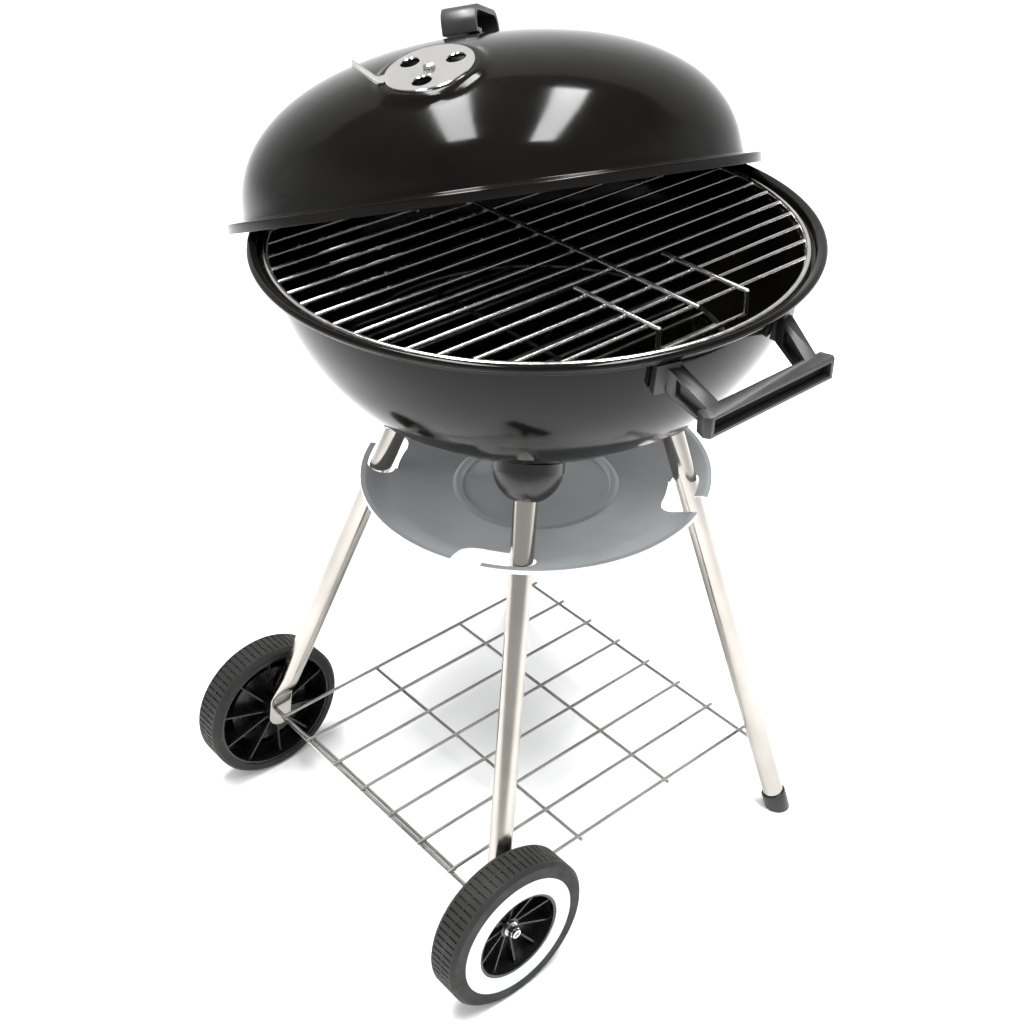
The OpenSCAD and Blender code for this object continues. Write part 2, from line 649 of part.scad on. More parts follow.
bowl();
bowl_vent_disc();
bowl_vent_pivot();
cooking_grate();
charcoal_grate();
color("#1a1a1b") side_handle(1);  // side_handle_right
color("#1a1a1b") side_handle(-1);  // side_handle_left
side_handle_bolts();
lid();
lid_hook();
lid_handle();
lid_handle_bolts();
lid_vent_disc();
lid_vent_pivot();
leg_wheel(1);  // leg_wheel_right
leg_wheel(-1);  // leg_wheel_left
leg_foot(1);  // leg_foot_right
leg_foot(-1);  // leg_foot_left
leg_plugs();
leg_bolts();
collar(1, -1);  // collar_wheel_right
collar(-1, -1);  // collar_wheel_left
collar(1, 1);  // collar_foot_right
collar(-1, 1);  // collar_foot_left
foot_cap(1);  // foot_cap_right
foot_cap(-1);  // foot_cap_left
axle();
axle_washers();
axle_nuts();
wheel_tyre(1);  // wheel_tyre_right
wheel_tyre(-1);  // wheel_tyre_left
wheel_hub(1);  // wheel_hub_right
wheel_hub(-1);  // wheel_hub_left
wheel_ring(1);  // wheel_ring_right
wheel_ring(-1);  // wheel_ring_left
shelf_wires();
shelf_cross_wires();
ash_tray();
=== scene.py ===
"""Looks for the kettle charcoal grill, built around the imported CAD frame. Everything is in metres."""

import math

import bmesh
import bpy
from mathutils import Matrix, Vector


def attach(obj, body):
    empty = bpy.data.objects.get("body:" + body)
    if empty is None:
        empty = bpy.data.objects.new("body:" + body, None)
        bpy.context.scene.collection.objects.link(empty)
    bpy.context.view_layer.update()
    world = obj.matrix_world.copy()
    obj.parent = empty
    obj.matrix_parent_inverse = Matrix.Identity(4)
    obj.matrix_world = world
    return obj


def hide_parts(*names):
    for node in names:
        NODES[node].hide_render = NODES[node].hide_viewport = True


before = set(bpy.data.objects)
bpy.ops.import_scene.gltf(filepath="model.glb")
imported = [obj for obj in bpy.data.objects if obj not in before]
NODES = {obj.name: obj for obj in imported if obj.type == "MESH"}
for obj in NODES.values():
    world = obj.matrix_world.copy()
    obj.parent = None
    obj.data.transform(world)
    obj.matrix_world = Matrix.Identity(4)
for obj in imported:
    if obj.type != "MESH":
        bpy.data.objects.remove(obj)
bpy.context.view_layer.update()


# ---------------------------------------------------------------- materials

class Shader:
    """A small builder for one Principled material with object-space procedural textures."""

    def __init__(self, name, color, rough, metal=0.0, spec=0.5, coat=0.0, coat_rough=0.05):
        self.mat = bpy.data.materials.new(name)
        self.mat.use_nodes = True
        self.tree = self.mat.node_tree
        self.bsdf = self.tree.nodes["Principled BSDF"]
        self.set("Base Color", (*color, 1.0))
        self.set("Roughness", rough)
        self.set("Metallic", metal)
        self.set("Specular IOR Level", spec)
        self.set("Coat Weight", coat)
        self.set("Coat Roughness", coat_rough)
        self.mat.diffuse_color = (*color, 1.0)
        self.coord = self.node("ShaderNodeTexCoord").outputs["Object"]
        self.bump = None

    def set(self, name, value):
        self.bsdf.inputs[name].default_value = value

    def node(self, kind, **values):
        made = self.tree.nodes.new(kind)
        for key, value in values.items():
            setattr(made, key, value)
        return made

    def link(self, a, b):
        self.tree.links.new(a, b)

    def scaled(self, scale):
        mapping = self.node("ShaderNodeMapping")
        mapping.inputs["Scale"].default_value = scale
        self.link(self.coord, mapping.inputs["Vector"])
        return mapping.outputs["Vector"]

    def noise(self, scale, detail=4.0, rough=0.55, stretch=(1, 1, 1), distort=0.0):
        tex = self.node("ShaderNodeTexNoise")
        tex.inputs["Scale"].default_value = scale
        tex.inputs["Detail"].default_value = detail
        tex.inputs["Roughness"].default_value = rough
        tex.inputs["Distortion"].default_value = distort
        self.link(self.scaled(stretch), tex.inputs["Vector"])
        return tex.outputs["Fac"]

    def ramp(self, fac, low, high, a, b):
        ramp = self.node("ShaderNodeMapRange")
        ramp.inputs["From Min"].default_value = low
        ramp.inputs["From Max"].default_value = high
        ramp.inputs["To Min"].default_value = a
        ramp.inputs["To Max"].default_value = b
        self.link(fac, ramp.inputs["Value"])
        return ramp.outputs["Result"]

    def mix(self, fac, a, b):
        mix = self.node("ShaderNodeMix", data_type="RGBA")
        for socket, value in ((mix.inputs[6], a), (mix.inputs[7], b)):
            if isinstance(value, tuple):
                socket.default_value = (*value, 1.0)
            else:
                self.link(value, socket)
        self.link(fac, mix.inputs[0])
        return mix.outputs[2]

    def color(self, out):
        self.link(out, self.bsdf.inputs["Base Color"])

    def rough(self, out):
        self.link(out, self.bsdf.inputs["Roughness"])

    def bump_by(self, height, strength, distance):
        bump = self.node("ShaderNodeBump")
        bump.inputs["Strength"].default_value = strength
        bump.inputs["Distance"].default_value = distance
        self.link(height, bump.inputs["Height"])
        if self.bump is not None:
            self.link(self.bump, bump.inputs["Normal"])
        self.bump = bump.outputs["Normal"]
        self.link(self.bump, self.bsdf.inputs["Normal"])

    def edge(self, radius=0.0012):
        """0 on flat areas, up to 1 near sharp edges."""
        bevel = self.node("ShaderNodeBevel", samples=4)
        bevel.inputs["Radius"].default_value = radius
        geo = self.node("ShaderNodeNewGeometry")
        dot = self.node("ShaderNodeVectorMath", operation="DOT_PRODUCT")
        self.link(bevel.outputs["Normal"], dot.inputs[0])
        self.link(geo.outputs["Normal"], dot.inputs[1])
        return self.ramp(dot.outputs["Value"], 0.98, 0.85, 0.0, 1.0)


def enamel():
    s = Shader("porcelain_enamel", (0.003, 0.0028, 0.0026), 0.1, spec=0.4)
    s.set("IOR", 1.3)
    cloud = s.noise(9.0, 3.0)
    s.color(s.mix(s.ramp(cloud, 0.35, 0.7, 0.0, 1.0), (0.0024, 0.0022, 0.0020), (0.0042, 0.0038, 0.0034)))
    s.rough(s.ramp(s.noise(26.0, 5.0), 0.3, 0.75, 0.085, 0.15))
    s.bump_by(s.noise(55.0, 2.0), 0.05, 0.0006)     # enamel's faint orange peel
    s.bump_by(s.noise(4.5, 1.0), 0.05, 0.002)       # pressed sheet's long waves
    return s.mat


def plated(name, color, rough, grain, tint, spread=0.08):
    s = Shader(name, color, rough, metal=1.0)
    soft = s.noise(30.0, 4.0)
    darker = tuple(c * tint for c in color)
    s.color(s.mix(s.ramp(soft, 0.3, 0.75, 0.0, 1.0), color, darker))
    s.rough(s.ramp(s.noise(140.0, 5.0), 0.25, 0.75, max(rough - spread, 0.03), rough + spread))
    s.bump_by(s.noise(420.0, 3.0), grain * 0.25, 0.0004)
    return s.mat


def brushed(name, color, rough, stretch):
    s = Shader(name, color, rough, metal=1.0)
    lines = s.noise(90.0, 6.0, 0.6, stretch)
    dark = tuple(c * 0.8 for c in color)
    s.color(s.mix(s.ramp(lines, 0.3, 0.7, 0.0, 1.0), color, dark))
    s.rough(s.ramp(s.noise(40.0, 4.0), 0.3, 0.7, rough - 0.06, rough + 0.08))
    s.bump_by(lines, 0.08, 0.0003)
    return s.mat


def galvanised():
    """Thin zinc-coated sheet, satin, with a soft cloudiness."""
    s = Shader("galvanised_sheet", (0.62, 0.65, 0.67), 0.4, metal=0.35, spec=0.4)
    s.color(s.mix(s.ramp(s.noise(11.0, 4.0), 0.3, 0.72, 0.0, 1.0), (0.66, 0.69, 0.71), (0.54, 0.565, 0.585)))
    s.rough(s.ramp(s.noise(46.0, 5.0), 0.3, 0.7, 0.32, 0.46))
    s.bump_by(s.noise(600.0, 2.0), 0.08, 0.0002)
    s.bump_by(s.noise(13.0, 2.0), 0.06, 0.001)
    return s.mat


def polished_tube():
    """Drawn stainless tube, a little uneven in its polish."""
    s = Shader("polished_steel_tube", (0.40, 0.38, 0.35), 0.16, metal=1.0)
    s.color(s.mix(s.ramp(s.noise(14.0, 3.0), 0.3, 0.7, 0.0, 1.0), (0.42, 0.40, 0.37), (0.33, 0.31, 0.285)))
    s.rough(s.ramp(s.noise(45.0, 4.0), 0.3, 0.7, 0.13, 0.22))
    s.bump_by(s.noise(700.0, 2.0), 0.04, 0.0001)
    return s.mat


def plastic(name, color, rough, texture=0.35, scale=900.0):
    s = Shader(name, color, rough, spec=0.45)
    # painted highlight: the colour is made lighter near sharp edges, standing in for the light the edges
    # catch
    light = tuple(min(c * 1.7 + 0.004, 1.0) for c in color)
    s.color(s.mix(s.edge(), s.mix(s.ramp(s.noise(14.0, 4.0), 0.35, 0.7, 0.0, 1.0), color,
        tuple(c * 1.25 for c in color)), light))
    s.rough(s.ramp(s.noise(60.0, 4.0), 0.3, 0.7, rough - 0.06, rough + 0.07))
    s.bump_by(s.noise(scale, 2.0), texture, 0.00015)
    return s.mat


def tyre_rubber():
    s = Shader("tyre_rubber", (0.02, 0.02, 0.019), 0.6, spec=0.25)
    dust = s.ramp(s.noise(24.0, 6.0), 0.45, 0.8, 0.0, 0.8)
    s.color(s.mix(dust, (0.014, 0.014, 0.0135), (0.032, 0.031, 0.029)))
    s.rough(s.ramp(s.noise(80.0, 4.0), 0.3, 0.7, 0.5, 0.74))
    s.bump_by(s.noise(700.0, 3.0), 0.3, 0.0002)
    return s.mat


MATS = {
    "enamel": enamel(),
    "chrome": plated("bright_plate", (0.78, 0.77, 0.74), 0.12, 0.15, 0.9, 0.04),
    "zinc": plated("zinc_plate", (0.66, 0.65, 0.62), 0.26, 0.6, 0.8),
    "grate": plated("grate_plate", (0.66, 0.655, 0.64), 0.22, 0.12, 0.85),
    "coal": plated("charcoal_grate_wire", (0.30, 0.295, 0.29), 0.38, 0.8, 0.6),
    "hook": plated("plain_steel", (0.34, 0.34, 0.34), 0.36, 0.8, 0.7),
    "axle": brushed("axle_steel", (0.58, 0.57, 0.55), 0.28, (0.05, 1, 1)),
    "tube": polished_tube(),
    "shelf": plated("shelf_wire_plate", (0.40, 0.39, 0.37), 0.34, 0.6, 0.75),
    "tray": galvanised(),
    "handle": plastic("heatproof_plastic", (0.010, 0.010, 0.010), 0.36, 0.3),
    "cap": plastic("black_cap_plastic", (0.008, 0.008, 0.008), 0.3, 0.12),
    "plug": plastic("plug_plastic", (0.03, 0.03, 0.03), 0.5),
    "hub": plastic("hub_plastic", (0.006, 0.006, 0.006), 0.26, 0.1, 500.0),
    "ring": plastic("white_trim", (0.50, 0.545, 0.54), 0.3, 0.08, 500.0),
    "tyre": tyre_rubber(),
}

LOOKS = {
    "bowl": "enamel", "lid": "enamel", "bowl_vent_disc": "chrome", "lid_vent_disc": "chrome",
    "bowl_vent_pivot": "zinc", "lid_vent_pivot": "zinc", "cooking_grate": "grate",
    "charcoal_grate": "coal", "side_handle_right": "handle", "side_handle_left": "handle",
    "side_handle_bolts": "zinc", "lid_hook": "hook", "lid_handle": "handle", "lid_handle_bolts": "zinc",
    "leg_wheel_right": "tube", "leg_wheel_left": "tube", "leg_foot_right": "tube",
    "leg_foot_left": "tube", "leg_plugs": "plug", "leg_bolts": "zinc", "axle": "axle",
    "axle_washers": "zinc", "axle_nuts": "zinc", "shelf_wires": "shelf", "shelf_cross_wires": "shelf",
    "ash_tray": "tray",
}
for side in ("right", "left"):
    LOOKS.update({f"collar_wheel_{side}": "cap", f"collar_foot_{side}": "cap", f"foot_cap_{side}": "cap",
        f"wheel_tyre_{side}": "tyre", f"wheel_hub_{side}": "hub", f"wheel_ring_{side}": "ring"})

for name, look in LOOKS.items():
    node = NODES[name]
    node.data.materials.clear()
    node.data.materials.append(MATS[look])

# ---------------------------------------------------------------- mesh helpers

def new_object(name, bm, sharp=35.0):
    mesh = bpy.data.meshes.new(name)
    bmesh.ops.recalc_face_normals(bm, faces=bm.faces)
    bm.to_mesh(mesh)
    bm.free()
    mesh.shade_smooth()
    mesh.set_sharp_from_angle(angle=math.radians(sharp))
    made = bpy.data.objects.new(name, mesh)
    bpy.context.scene.collection.objects.link(made)
    return made


def stand_in(piece, nodes, body, look):
    """piece takes the place of these CAD nodes on body."""
    piece.data.materials.clear()
    piece.data.materials.append(MATS[look])
    for face in piece.data.polygons:
        face.material_index = 0
    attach(piece, body)
    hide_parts(*nodes)


def rounded(points, steps=5):
    """Turns (r, z, fillet) corners into a polyline with arcs."""
    out = []
    n = len(points)
    for i, (r, z, fillet) in enumerate(points):
        here = Vector((r, z))
        if fillet == 0:
            out.append(here)
            continue
        a = Vector(points[i - 1][:2]) - here
        b = Vector(points[(i + 1) % n][:2]) - here
        angle = a.angle(b)
        reach = min(fillet / math.tan(angle / 2), a.length * 0.49, b.length * 0.49)
        start, end = here + a.normalized() * reach, here + b.normalized() * reach
        for k in range(steps + 1):
            t = k / steps
            out.append(start.lerp(here, t).lerp(here.lerp(end, t), t))
    return out


def lathe(profile, segments):
    """A closed (r, z) outline turned about Z."""
    bm = bmesh.new()
    rings = []
    for p in profile:
        if p.x < 1e-6:
            rings.append([bm.verts.new((0, 0, p.y))])
            continue
        rings.append([bm.verts.new((p.x * math.cos(2 * math.pi * k / segments),
            p.x * math.sin(2 * math.pi * k / segments), p.y)) for k in range(segments)])
    pairs = list(zip(rings, rings[1:] + rings[:1]))
    for a, b in pairs:
        if len(a) == 1 and len(b) == 1:
            continue
        for k in range(segments):
            j = (k + 1) % segments
            if len(a) == 1:
                bm.faces.new((a[0], b[j], b[k]))
            elif len(b) == 1:
                bm.faces.new((a[k], a[j], b[0]))
            else:
                bm.faces.new((a[k], a[j], b[j], b[k]))
    return bm


def cylinder_cutter(spot, axis, radius, height, sides=48):
    bm = bmesh.new()
    turn = Vector(axis).to_track_quat("Z", "Y").to_matrix().to_4x4()
    bmesh.ops.create_cone(bm, cap_ends=True, segments=sides, radius1=radius, radius2=radius,
        depth=height, matrix=Matrix.Translation(spot) @ turn)
    return new_object("cutter", bm)


def cut(piece, cutters):
    for tool in cutters:
        mod = piece.modifiers.new("cut", "BOOLEAN")
        mod.operation = "DIFFERENCE"
        mod.object = tool
        mod.solver = "EXACT"
    apply_modifiers(piece)
    for tool in cutters:
        bpy.data.objects.remove(tool)


def apply_modifiers(piece):
    graph = bpy.context.evaluated_depsgraph_get()
    mesh = bpy.data.meshes.new_from_object(piece.evaluated_get(graph))
    piece.modifiers.clear()
    old = piece.data
    piece.data = mesh
    bpy.data.meshes.remove(old)


def clean_copy(node, name):
    """A CAD node's mesh with its seams welded and its flat faces whole."""
    bm = bmesh.new()
    bm.from_mesh(NODES[node].data)
    bmesh.ops.remove_doubles(bm, verts=bm.verts, dist=2e-6)
    bmesh.ops.dissolve_limit(bm, angle_limit=math.radians(0.6), verts=bm.verts, edges=bm.edges)
    return new_object(name, bm, 30)


def soften(piece, width, segments=2, angle=32.0):
    mod = piece.modifiers.new("soft_edges", "BEVEL")
    mod.width = width
    mod.segments = segments
    mod.limit_method = "ANGLE"
    mod.angle_limit = math.radians(angle)
    mod.harden_normals = False
    apply_modifiers(piece)
    piece.data.shade_smooth()
    piece.data.set_sharp_from_angle(angle=math.radians(angle))


# ---------------------------------------------------------------- bowl

ELL_Z = 0.563                       # level where the bowl's half ellipse begins
WALL = (0.2045, 0.172)              # the bowl's outer ellipse: radius and depth
CAP = (0.2015, 0.1695)              # the same for the cap under the charcoal step
SHEET = 0.0015
STEP_Z = ELL_Z - 0.1065
STEP_W = 0.005
FLAT_R = 0.062
SEAT_R, SEAT_Z = 0.2123, 0.556
BEAD_R, BEAD_AT, BEAD_Z = 0.003, 0.217, 0.562
HOLE_AT, HOLE_R = 0.0205, 0.0076    # a damper's three holes, the same in the bowl and the lid


def ellipse_r(shape, z, inset=0.0):
    return (shape[0] - inset) * math.sqrt(1 - ((ELL_Z - z) / (shape[1] - inset)) ** 2)


def ellipse_z(shape, r, inset=0.0):
    return ELL_Z - (shape[1] - inset) * math.sqrt(1 - (r / (shape[0] - inset)) ** 2)


def arc(shape, r0, r1, inset=0.0, count=26):
    """Points along an ellipse between two radii, evenly turned."""
    a = shape[0] - inset
    t0, t1 = math.asin(r0 / a), math.asin(r1 / a)
    angles = [t0 + (t1 - t0) * i / count for i in range(count + 1)]
    return [(a * math.sin(t), ELL_Z - (shape[1] - inset) * math.cos(t), 0) for t in angles]


def make_bowl():
    out_step = ellipse_r(WALL, STEP_Z - SHEET)
    in_step = ellipse_r(WALL, STEP_Z, SHEET)
    bottom = ellipse_z(CAP, FLAT_R)
    out_top = ellipse_r(WALL, SEAT_Z - SHEET)
    in_top = ellipse_r(WALL, SEAT_Z, SHEET)
    points = [(0, bottom, 0), (FLAT_R - 0.004, bottom, 0.003)]
    # two shallow rings pressed into the bottom's edge
    points += [(FLAT_R - 0.002, bottom - 0.0008, 0.0008), (FLAT_R + 0.002, bottom - 0.0004, 0.002)]
    points += arc(CAP, FLAT_R + 0.004, out_step - STEP_W - 0.001)
    points += [(out_step - STEP_W, STEP_Z - SHEET, 0.0012), (out_step, STEP_Z - SHEET, 0.0012)]
    points += arc(WALL, out_step + 0.0006, out_top - 0.0006)
    points += [(out_top, SEAT_Z - SHEET, 0.002), (SEAT_R + SHEET, SEAT_Z - SHEET, 0.002),
        (SEAT_R + SHEET, BEAD_Z - 0.0012, 0.0005)]
    points += [(BEAD_AT + BEAD_R * math.cos(t), BEAD_Z + BEAD_R * math.sin(t), 0)
        for t in (math.radians(200 + 14 * i) for i in range(20))]
    points += [(SEAT_R, BEAD_Z + 0.0012, 0.0008), (SEAT_R, SEAT_Z, 0.0015), (in_top, SEAT_Z, 0.0015)]
    points += arc(WALL, in_step + 0.0006, in_top - 0.0006, SHEET)[::-1]
    points += [(in_step, STEP_Z, 0.0012), (in_step - STEP_W, STEP_Z, 0.0012)]
    points += arc(CAP, FLAT_R + 0.003, in_step - STEP_W - 0.001, SHEET)[::-1]
    points += [(FLAT_R, bottom + SHEET, 0.003), (0, bottom + SHEET, 0)]
    bowl = new_object("bowl_enamelled", lathe(rounded(points), 256), 50)
    cut(bowl, [cylinder_cutter((HOLE_AT * math.cos(t), HOLE_AT * math.sin(t), bottom), (0, 0, 1), HOLE_R,
        0.01) for t in (0, math.radians(120), math.radians(240))])
    bowl.data.shade_smooth()
    bowl.data.set_sharp_from_angle(angle=math.radians(50))
    stand_in(bowl, ["bowl"], "stand", "enamel")


# ---------------------------------------------------------------- lid

LID_AT = Vector((-0.0958, 0.0377, 0.5485))
LEAN, LEAN_AZ = math.radians(23.4), math.radians(158.2)
LID_TURN = Matrix.Rotation(LEAN, 4, Vector((-math.sin(LEAN_AZ), math.cos(LEAN_AZ), 0)))
LID_PLACE = Matrix.Translation(LID_AT) @ LID_TURN
RIM_R, RIM_H, LID_SHEET = 0.2195, 0.008, 0.0012
DOME_R, DOME_H, DOME_P = 0.2055, 0.1195, 2.25
VENT_AZ, VENT_AT, VENT_TURN = math.radians(-51), 0.15, math.radians(24)
SEAT_FLAT, SEAT_EASE = 0.0375, 0.0065       # flat pad's radius, and the width of its eased edge
SEAT_DEEPEST = -0.03                # nothing this far under the pad belongs to it


def dome_z(r, inset=0.0):
    return RIM_H + (DOME_H - inset) * max(0.0, 1 - (r / (DOME_R - inset)) ** DOME_P) ** (1 / DOME_P)


def dome_slope(r):
    return math.atan(DOME_H / DOME_R * (r / DOME_R) ** (DOME_P - 1)
        * (1 - (r / DOME_R) ** DOME_P) ** (1 / DOME_P - 1))


def dome_arc(inset, count=84):
    radius = DOME_R - inset
    return [(radius * math.cos(t), dome_z(radius * math.cos(t), inset), 0)
        for t in (math.pi / 2 * i / count for i in range(count + 1))]


def vent_frame():
    """Local frame of the lid's vent: X along the tangent, Z off the dome."""
    return (Matrix.Rotation(VENT_AZ, 4, "Z") @ Matrix.Translation((VENT_AT, 0, dome_z(VENT_AT)))
        @ Matrix.Rotation(dome_slope(VENT_AT), 4, "Y") @ Matrix.Rotation(math.pi / 2, 4, "Z"))


def make_lid():
    outer = dome_arc(0.0)
    inner = dome_arc(LID_SHEET)[::-1]
    points = [(RIM_R, 0, 0.0005), (RIM_R, RIM_H, 0.002), (DOME_R + 0.003, RIM_H, 0.0012)]
    points += [(DOME_R + 0.0006, RIM_H + 0.0012, 0.001)] + outer[2:-1] + [(0, outer[-1][1], 0)]
    points += [(0, inner[0][1], 0)] + inner[1:-2] + [(DOME_R - LID_SHEET, RIM_H - LID_SHEET, 0.0012)]
    points += [(RIM_R - LID_SHEET, RIM_H - LID_SHEET, 0.0012), (RIM_R - LID_SHEET, 0, 0.0005)]
    bm = lathe(rounded(points), 384)
    seat = vent_frame()
    press_vent_seat(bm, seat)
    lid = new_object("lid_enamelled", bm, 45)
    normal = seat.to_3x3() @ Vector((0, 0, 1))
    cutters = []
    for k in range(3):
        t = VENT_TURN + math.radians(120 * k)
        spot = seat @ Vector((HOLE_AT * math.cos(t), HOLE_AT * math.sin(t), 0))
        cutters.append(cylinder_cutter(spot, normal, HOLE_R, 0.012))
    cut(lid, cutters)
    lid.data.transform(LID_PLACE)
    lid.data.shade_smooth()
    lid.data.set_sharp_from_angle(angle=math.radians(45))
    stand_in(lid, ["lid"], "lid", "enamel")


def press_vent_seat(bm, seat):
    """Flattens the dome's two surfaces round the vent, easing out at the edge."""
    to_seat = seat.inverted()
    for v in bm.verts:
        p = to_seat @ v.co
        d = math.hypot(p.x, p.y)
        if p.z < SEAT_DEEPEST or d > SEAT_FLAT + SEAT_EASE:
            continue
        t = min(max((SEAT_FLAT + SEAT_EASE - d) / SEAT_EASE, 0.0), 1.0)
        weight = t * t * (3 - 2 * t)
        target = -SHEET if on_inner_surface(v.co) else 0.0
        p.z += (target - p.z) * weight
        v.co = seat @ p


def on_inner_surface(point):
    """True for a point of the lid's inner surface."""
    r = math.hypot(point.x, point.y)
    return point.z < dome_z(r) - LID_SHEET * 0.5


# ---------------------------------------------------------------- legs with flattened ends

AXLE_Y, AXLE_Z = -0.186, 0.069
BEND = Vector((0.1578, -0.1785, 0.095))
LEG_TOP = Vector((0.0775, -0.077, 0.400))
TUBE_R = 0.0095
LEG_HIGH = 0.4085                   # level of the tube's upper end
TAB_HALF_T, TAB_HALF_W = 0.0013, 0.0118
TAB_TOP = Vector((BEND.x, -0.1825, 0.088))
TAB_END = Vector((BEND.x, AXLE_Y, AXLE_Z))
ROUND, SQUARE = 1.0, 0.25           # how round a section is
FLATTENS_FROM, FLATTENS_AT = 0.020, 0.003   # along the tube, up from the bend


def flattened_leg(name, side):
    """A round tube whose lower end is pressed flat and bent to stand upright on the axle."""
    axis = (LEG_TOP - BEND).normalized()
    flat_x, flat_y = Vector((1, 0, 0)), Vector((0, 1, 0))
    tube_x = (flat_x - axis * flat_x.dot(axis)).normalized()
    tube_y = axis.cross(tube_x)
    if tube_y.y < 0:
        tube_y = -tube_y
    sections = []                   # centre, two directions, two half sizes, roundness
    top = BEND + axis * ((LEG_HIGH - BEND.z) / axis.z)
    start = BEND + axis * FLATTENS_FROM
    knee = BEND + axis * FLATTENS_AT
    for i in range(24):
        sections.append((top.lerp(start, i / 23), tube_x, tube_y, TUBE_R, TUBE_R, ROUND))
    for i in range(1, 13):
        t = i / 12
        spot = start.lerp(knee, t).lerp(knee.lerp(TAB_TOP, t), t)
        s = t * t * (3 - 2 * t)
        sections.append((spot, tube_x.lerp(flat_x, s).normalized(), tube_y.lerp(flat_y, s).normalized(),
            TUBE_R + (TAB_HALF_T - TUBE_R) * s, TUBE_R + (TAB_HALF_W - TUBE_R) * s,
            ROUND + (SQUARE - ROUND) * s))
    for i in range(1, 5):
        sections.append((TAB_TOP.lerp(TAB_END, i / 4), flat_x, flat_y, TAB_HALF_T, TAB_HALF_W, SQUARE))
    for i in range(1, 9):           # the tab's half-round end
        t = math.radians(90 * i / 8.3)
        sections.append((TAB_END - Vector((0, 0, TAB_HALF_W * math.sin(t))), flat_x, flat_y,
            TAB_HALF_T, TAB_HALF_W * math.cos(t), SQUARE))
    bm = bmesh.new()
    loops = [section_loop(bm, *section) for section in sections]
    for a, b in zip(loops, loops[1:]):
        for k in range(len(a)):
            j = (k + 1) % len(a)
            bm.faces.new((a[k], a[j], b[j], b[k]))
    bm.faces.new(loops[0])
    bm.faces.new(loops[-1][::-1])
    if side < 0:
        bmesh.ops.transform(bm, matrix=Matrix.Scale(-1, 4, (1, 0, 0)), verts=bm.verts)
    return new_object(name, bm, 50)


def section_loop(bm, spot, e1, e2, half_1, half_2, roundness, count=40):
    """A ring of points between a rectangle and an ellipse."""
    loop = []
    for k in range(count):
        a = 2 * math.pi * (k + 0.5) / count
        c, s = math.cos(a), math.sin(a)
        c = math.copysign(abs(c) ** roundness, c)
        s = math.copysign(abs(s) ** max(roundness, 0.8), s)
        loop.append(bm.verts.new(spot + e1 * (half_1 * c) + e2 * (half_2 * s)))
    return loop


# ---------------------------------------------------------------- side handles

def box_hull(corners):
    bm = bmesh.new()
    for c in corners:
        bm.verts.new(c)
    bmesh.ops.convex_hull(bm, input=bm.verts)
    return new_object("pocket", bm)


def make_side_handle(side, name, node):
    handle = clean_copy(node, name)
    pockets = []
    for end in (-1, 1):
        for face in (-1, 1):
            corners = []
            # (x, arm's middle in y, lowest and highest z) at the pocket's two ends
            for x, y, low, high in ((0.2095, 0.0538, 0.5306, 0.5435), (0.2305, 0.0500, 0.5195, 0.5295)):
                for dy in (0.0018, 0.009):
                    for z in (low, high):
                        corners.append((side * x, end * y + face * dy, z))
            pockets.append(box_hull(corners))
    cut(handle, pockets)
    bm = bmesh.new()
    bm.from_mesh(handle.data)
    bmesh.ops.dissolve_limit(bm, angle_limit=math.radians(1.0), verts=bm.verts, edges=bm.edges)
    bm.to_mesh(handle.data)
    bm.free()
    soften(handle, 0.0007)
    return handle


# ---------------------------------------------------------------- putting the pieces in place

make_bowl()
make_lid()
for side, word in ((1, "right"), (-1, "left")):
    stand_in(flattened_leg(f"wheel_leg_{word}", side), [f"leg_wheel_{word}"], "stand", "tube")
    stand_in(make_side_handle(side, f"grip_{word}", f"side_handle_{word}"), [f"side_handle_{word}"],
        "stand", "handle")
    cap = clean_copy(f"foot_cap_{word}", f"foot_boot_{word}")
    soften(cap, 0.0008)
    stand_in(cap, [f"foot_cap_{word}"], "stand", "cap")
strap = clean_copy("lid_handle", "lid_strap_handle")
soften(strap, 0.0008)
stand_in(strap, ["lid_handle"], "lid", "handle")
for node, body, name in (("lid_vent_disc", "lid_vent", "lid_damper"),
        ("bowl_vent_disc", "bowl_vent", "bowl_damper")):
    damper = clean_copy(node, name)
    soften(damper, 0.0003)
    stand_in(damper, [node], body, "chrome")

# ---------------------------------------------------------------- stage

def stage():
    floor_mat = Shader("studio_floor", (0.86, 0.86, 0.86), 0.9, spec=0.1)
    floor_mat.rough(floor_mat.ramp(floor_mat.noise(3.0), 0.3, 0.7, 0.86, 0.95))
    size, back, rise, curve = 9.0, 4.0, 6.0, 1.2
    bm = bmesh.new()
    # a sweep behind the object: flat floor, rounded corner, high wall
    steps = 16
    profile = [(-size, 0.0), (back - curve, 0.0)]
    profile += [(back - curve + curve * math.sin(math.pi / 2 * i / steps),
        curve - curve * math.cos(math.pi / 2 * i / steps)) for i in range(1, steps + 1)]
    profile.append((back, rise))
    turn = Matrix.Rotation(math.radians(CAMERA_AZ), 4, "Z")
    rows = []
    for x in (-size, size):
        rows.append([bm.verts.new(turn @ Vector((x, d, z))) for d, z in profile])
    for i in range(len(profile) - 1):
        bm.faces.new((rows[0][i], rows[1][i], rows[1][i + 1], rows[0][i + 1]))
    mesh = bpy.data.meshes.new("floor")
    bm.to_mesh(mesh)
    bm.free()
    mesh.shade_smooth()
    floor = bpy.data.objects.new("floor", mesh)
    bpy.context.scene.collection.objects.link(floor)
    mesh.materials.append(floor_mat.mat)


def area_light(name, spot, target, size, power, color=(1, 1, 1)):
    light = bpy.data.lights.new(name, "AREA")
    light.shape = "RECTANGLE"
    light.size, light.size_y = size
    light.energy = power
    light.color = color
    lamp = bpy.data.objects.new(name, light)
    bpy.context.scene.collection.objects.link(lamp)
    lamp.location = spot
    lamp.rotation_euler = (Vector(target) - Vector(spot)).to_track_quat("-Z", "Y").to_euler()
    return lamp


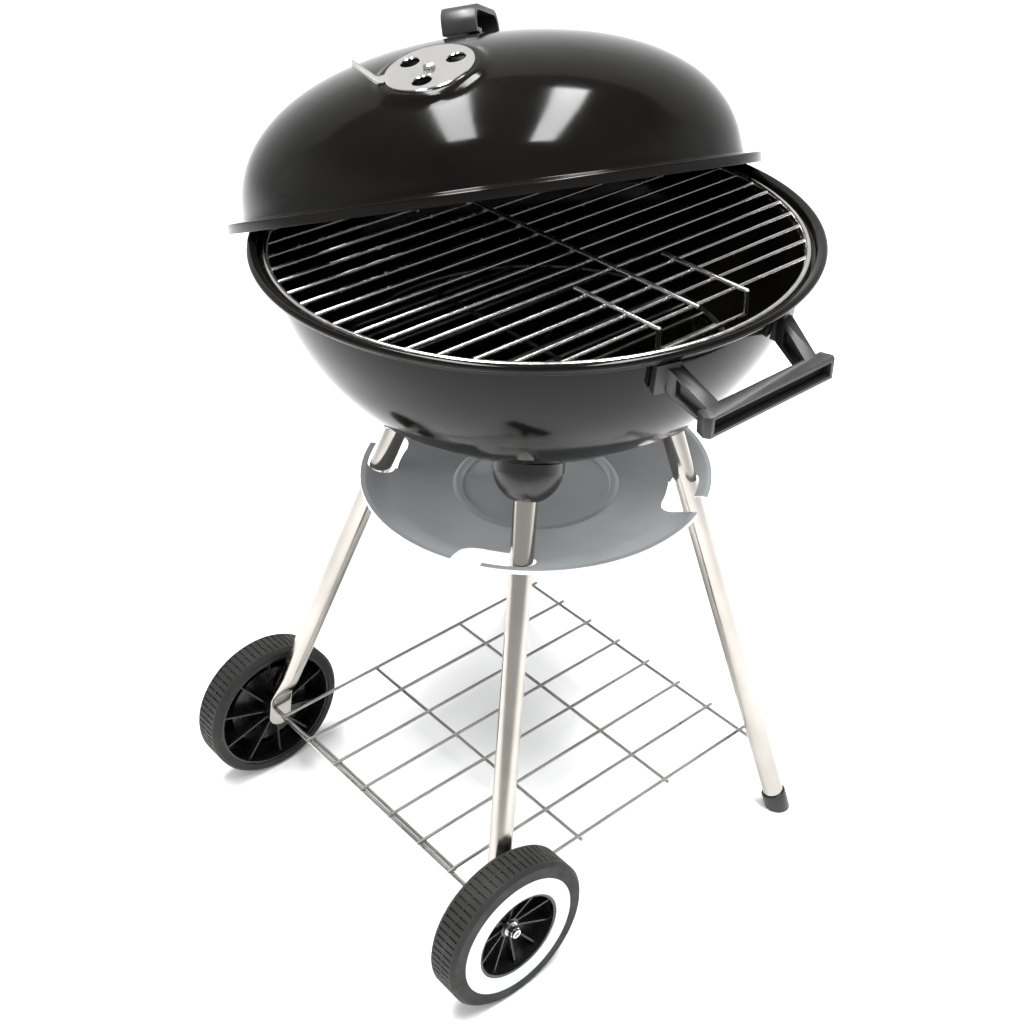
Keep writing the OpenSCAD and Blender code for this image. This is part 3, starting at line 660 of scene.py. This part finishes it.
CAMERA_SPOT = (0.7934, -0.6961, 1.0282)
CAMERA_AZ = 49.85
CAMERA_DOWN = 34.74
CAMERA_ROLL = 0.5
LENS = 52.0
VIEW_SHIFT = 0.004                  # keeps the lid handle inside the frame


def around(az, dist, height):
    """A point at compass direction az from the camera's own side, clockwise seen from above."""
    a = math.radians(CAMERA_AZ - 90 + az)
    return (math.cos(a) * dist, math.sin(a) * dist, height)


stage()
world = bpy.data.worlds.new("studio")
bpy.context.scene.world = world
world.use_nodes = True
sky = world.node_tree
up = sky.nodes.new("ShaderNodeSeparateXYZ")
sky.links.new(sky.nodes.new("ShaderNodeTexCoord").outputs["Generated"], up.inputs[0])
fade = sky.nodes.new("ShaderNodeMapRange")     # bright horizon, dark ceiling
fade.interpolation_type = "SMOOTHSTEP"
fade.inputs["From Min"].default_value = 0.15
fade.inputs["From Max"].default_value = 0.6
fade.inputs["To Min"].default_value = 0.75
fade.inputs["To Max"].default_value = 0.16
sky.links.new(up.outputs["Z"], fade.inputs["Value"])
sky.links.new(fade.outputs["Result"], sky.nodes["Background"].inputs["Strength"])
sky.nodes["Background"].inputs["Color"].default_value = (1.0, 1.0, 1.0, 1.0)


STRIP_SIZE = (1.8, 0.38)
STRIP_AZ = math.radians(-38)


def strip_light(name, spot, power):
    """A long overhead softbox, its length across the lid's slope."""
    lamp = area_light(name, spot, (spot[0], spot[1], 0), STRIP_SIZE, power)
    lamp.rotation_euler = (0, 0, STRIP_AZ)


strip_light("strip_near", (-0.38, -0.37, 2.3), 78)
strip_light("strip_far", (0.56, 0.34, 2.3), 88)
sun = bpy.data.lights.new("overhead_fill", "SUN")   # broad, even and unseen in reflections
sun.energy = 1.75
sun.angle = math.radians(120)
fill = bpy.data.objects.new("overhead_fill", sun)
bpy.context.scene.collection.objects.link(fill)
fill.visible_glossy = False
side_fill = area_light("side_fill", around(-75, 2.4, 1.0), (0, 0, 0.35), (1.2, 1.6), 22)
side_fill.visible_glossy = False

camera_data = bpy.data.cameras.new("camera")
camera_data.sensor_width = 36.0
camera_data.lens = LENS
camera_data.dof.use_dof = False
camera_data.shift_y = VIEW_SHIFT
camera = bpy.data.objects.new("camera", camera_data)
bpy.context.scene.collection.objects.link(camera)
camera.location = CAMERA_SPOT
turned = Matrix.Rotation(math.radians(CAMERA_AZ), 3, "Z")
tilted = turned @ Matrix.Rotation(math.radians(90 - CAMERA_DOWN), 3, "X")
camera.rotation_euler = (tilted @ Matrix.Rotation(math.radians(-CAMERA_ROLL), 3, "Z")).to_euler()
bpy.context.scene.camera = camera
bpy.context.scene.view_settings.view_transform = "Standard"
